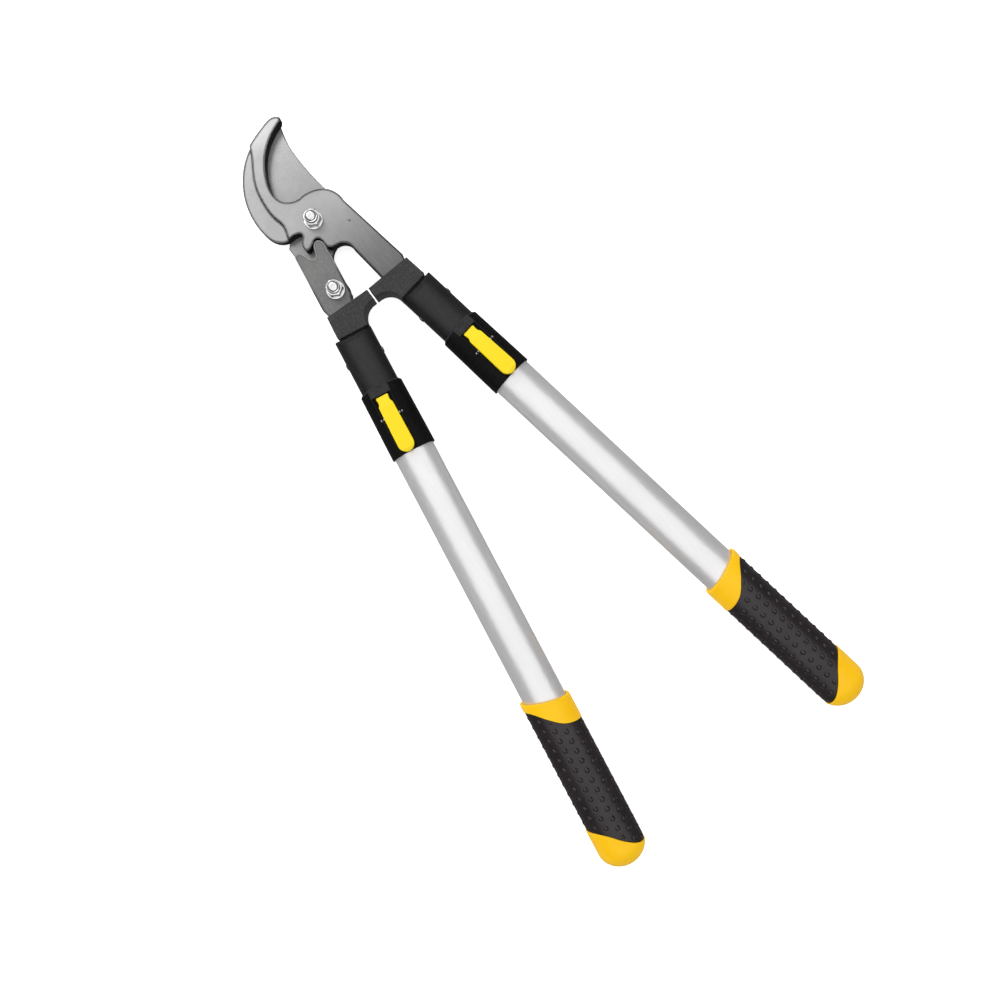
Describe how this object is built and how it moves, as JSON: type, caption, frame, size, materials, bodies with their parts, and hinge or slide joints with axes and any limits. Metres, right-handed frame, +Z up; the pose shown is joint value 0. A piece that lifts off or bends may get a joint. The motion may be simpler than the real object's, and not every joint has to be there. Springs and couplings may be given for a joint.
{
  "type": "bypass loppers",
  "caption": "Geared bypass loppers with a hooked counter-blade, telescopic oval handles, thumb latches and studded rubber grips.",
  "frame": {"origin": "centre of the main pivot bolt's head, on the table that the closed loppers lie on", "axes": "+Y from the main pivot towards the jaw tip, +X across to the hook arm's handle, +Z up from the table through the main pivot"},
  "size_m": [0.2699, 0.6814, 0.0344],
  "materials": {
    "forged_hook": "satin ground steel with a fine vertical grain",
    "blade_steel": "satin ground steel",
    "forged_arm": "blasted forged steel, darker and slightly rough",
    "bright_fastener": "bright plated steel",
    "black_nylon": "fine-textured black nylon",
    "black_tube": "satin black anodised aluminium",
    "rivet_steel": "blackened steel",
    "silver_tube": "satin anodised aluminium",
    "yellow_grip": "moulded yellow plastic",
    "black_rubber": "satin black moulded rubber",
    "yellow_lever": "moulded lemon-yellow plastic"
  },
  "bodies": {
    "hook_frame": {"hook_blade": "forged_hook", "main_pivot_bolt": "bright_fastener", "main_pivot_nut": "bright_fastener", "main_washer_front": "bright_fastener", "main_washer_back": "bright_fastener", "right_bracket": "black_nylon", "right_tube_rivet": "rivet_steel", "right_inner_tube": "black_tube", "right_tube_glide": "black_nylon"},
    "blade": {"cutting_blade": "blade_steel", "arm_pivot_bolt": "bright_fastener", "arm_pivot_nut": "bright_fastener", "arm_washer_front": "bright_fastener", "arm_washer_back": "bright_fastener"},
    "left_handle": {"gear_arm": "forged_arm", "left_bracket": "black_nylon", "left_tube_rivet": "rivet_steel", "left_inner_tube": "black_tube", "left_tube_glide": "black_nylon"},
    "right_grip": {"right_outer_tube": "silver_tube", "right_latch_housing": "black_nylon", "right_latch_pin": "bright_fastener", "right_latch_spring": "bright_fastener", "right_grip_collar": "yellow_grip", "right_grip_sleeve": "black_rubber", "right_grip_cap": "yellow_grip"},
    "left_grip": {"left_outer_tube": "silver_tube", "left_latch_housing": "black_nylon", "left_latch_pin": "bright_fastener", "left_latch_spring": "bright_fastener", "left_grip_collar": "yellow_grip", "left_grip_sleeve": "black_rubber", "left_grip_cap": "yellow_grip"},
    "right_latch": {"right_latch_lever": "yellow_lever", "right_latch_peg": "bright_fastener"},
    "left_latch": {"left_latch_lever": "yellow_lever", "left_latch_peg": "bright_fastener"}
  },
  "joints": [
    {"name": "blade_pivot", "type": "hinge", "parent": "hook_frame", "child": "blade", "pos_m": [0, 0, 0.015], "axis": [0, 0, -1], "range_deg": [0, 51.4]},
    {"name": "handle_pivot", "type": "hinge", "parent": "blade", "child": "left_handle", "pos_m": [-0.0207, -0.0574, 0.015], "axis": [0, 0, -1], "range_deg": [0, 27.98]},
    {"name": "right_handle_slide", "type": "slide", "parent": "hook_frame", "child": "right_grip", "axis": [0.1668, -0.986, 0], "range_m": [0, 0.33]},
    {"name": "left_handle_slide", "type": "slide", "parent": "left_handle", "child": "left_grip", "axis": [-0.1668, -0.986, 0], "range_m": [0, 0.33]},
    {"name": "right_latch_pivot", "type": "hinge", "parent": "right_grip", "child": "right_latch", "pos_m": [0.04866, -0.17127, 0.029], "axis": [0.986, 0.1668, 0], "range_deg": [0, 7.5], "stiffness_Nm_per_rad": 0.3, "deforming": ["right_latch_spring"]},
    {"name": "left_latch_pivot", "type": "hinge", "parent": "left_grip", "child": "left_latch", "pos_m": [-0.04666, -0.17127, 0.029], "axis": [0.986, -0.1668, 0], "range_deg": [0, 7.5], "stiffness_Nm_per_rad": 0.3, "deforming": ["left_latch_spring"]}
  ],
  "couplings": [
    {"joint": "handle_pivot", "follows": "blade_pivot", "ratio": 0.53846}
  ]
}
